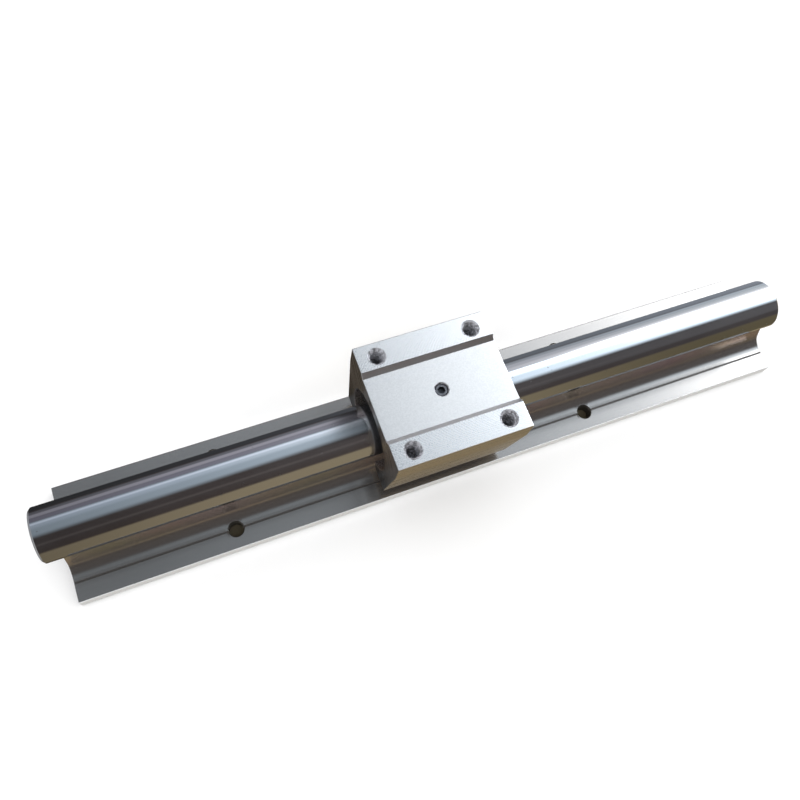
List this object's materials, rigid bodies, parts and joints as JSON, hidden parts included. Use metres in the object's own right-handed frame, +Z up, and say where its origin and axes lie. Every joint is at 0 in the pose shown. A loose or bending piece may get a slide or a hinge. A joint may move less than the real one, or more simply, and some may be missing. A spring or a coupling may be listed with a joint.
{
  "type": "supported round rail",
  "caption": "Ground round shaft on an aluminium support rail, carrying an open linear bearing block that slides along it.",
  "frame": {"origin": "middle of the support base's mounting face", "axes": "+X along the rail, +Y across it, +Z up from the mounting face towards the bearing block's top"},
  "size_m": [0.304, 0.048, 0.05],
  "materials": {
    "shaft_steel": "ground and hard chromed",
    "base_aluminium": "satin extruded",
    "block_aluminium": "matte with milled lands",
    "sleeve_steel": "ground",
    "cage_resin": "moulded",
    "seal_rubber": "moulded",
    "screw_steel": "black oxide"
  },
  "bodies": {
    "rail": {"shaft": "shaft_steel", "support_base": "base_aluminium", "shaft_screw_1": "screw_steel", "shaft_screw_2": "screw_steel"},
    "carriage": {"bearing_block": "block_aluminium", "bushing_sleeve": "sleeve_steel", "ball_cage": "cage_resin", "end_seal_1": "seal_rubber", "end_seal_2": "seal_rubber", "clamp_screw": "screw_steel"}
  },
  "joints": [
    {"name": "carriage_slide", "type": "slide", "parent": "rail", "child": "carriage", "axis": [1, 0, 0], "range_m": [-0.117, 0.131]}
  ]
}
